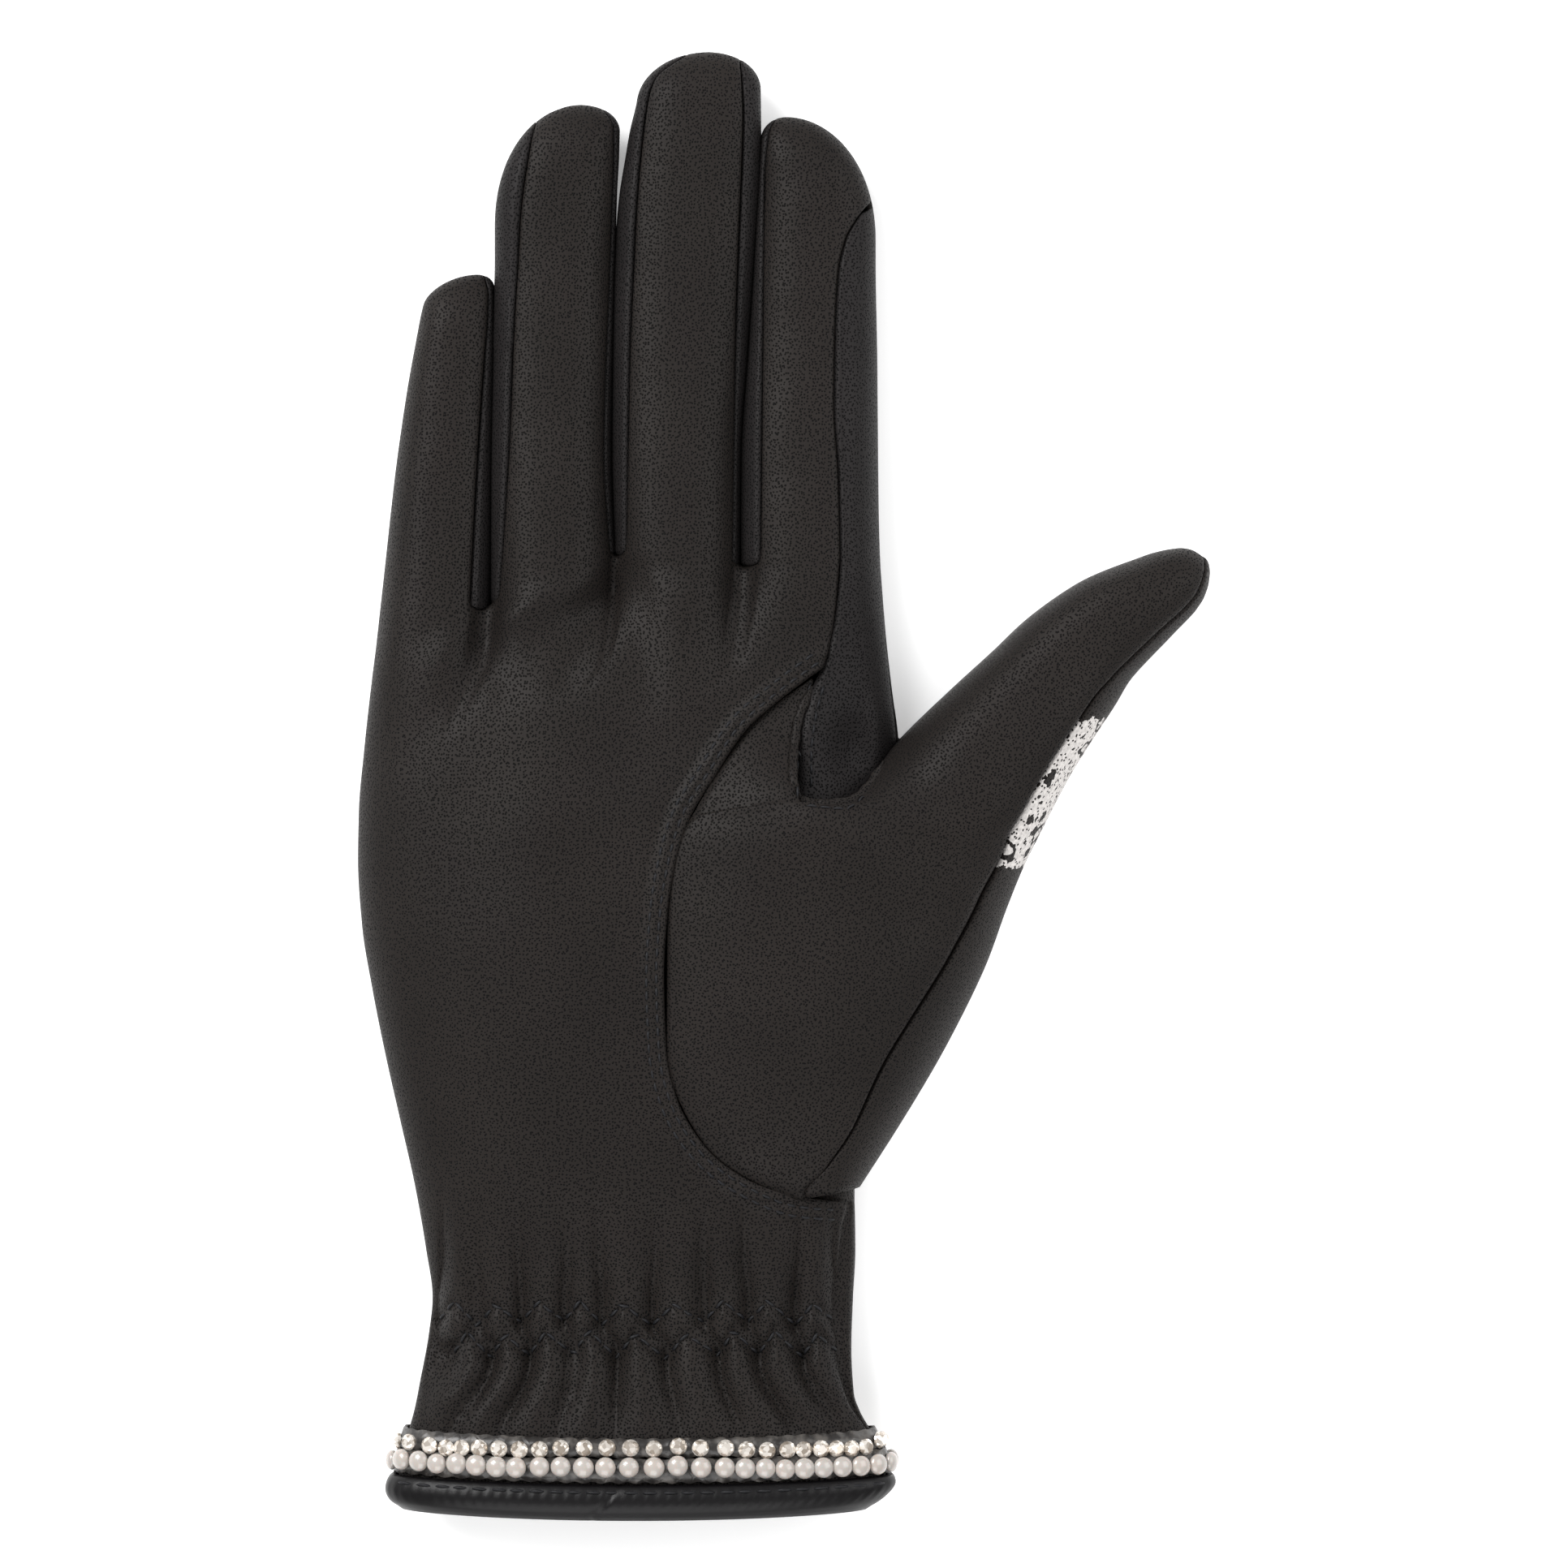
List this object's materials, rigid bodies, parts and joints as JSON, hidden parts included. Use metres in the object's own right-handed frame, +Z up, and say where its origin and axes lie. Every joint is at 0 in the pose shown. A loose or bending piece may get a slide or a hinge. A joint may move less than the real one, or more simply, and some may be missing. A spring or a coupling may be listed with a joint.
{
  "type": "horse riding glove",
  "caption": "Right-hand leather riding glove lying palm up, gathered at the wrist, with a crystal and pearl trim on its cuff.",
  "frame": {"origin": "on the flat of the back, where it rests, under the middle of the palm", "axes": "+X to the thumb's side, +Y to the fingertips, +Z up out of the palm"},
  "size_m": [0.1398, 0.2393, 0.0255],
  "materials": {
    "leather": "soft goatskin with small dark pits, faint sheen",
    "side_leather": "the same leather on the finger sides",
    "thread": "waxed black thread",
    "foil_print": "silver foil print on leather",
    "satin": "satin welt",
    "tape": "sheer trim tape",
    "crystal": "clear cut stones with foiled backs",
    "pearl": "imitation pearl, soft lustre"
  },
  "bodies": {
    "root": {"palm_panel": "leather", "back_panel": "leather", "index_side_panel": "side_leather", "fourchette_little_ring": "side_leather", "fourchette_ring_middle": "side_leather", "fourchette_middle_index": "side_leather", "thumb_palm_panel": "leather", "thumb_back_panel": "leather", "cuff_binding": "satin", "crystal_band": "crystal", "pearl_band": "pearl"}
  },
  "joints": []
}
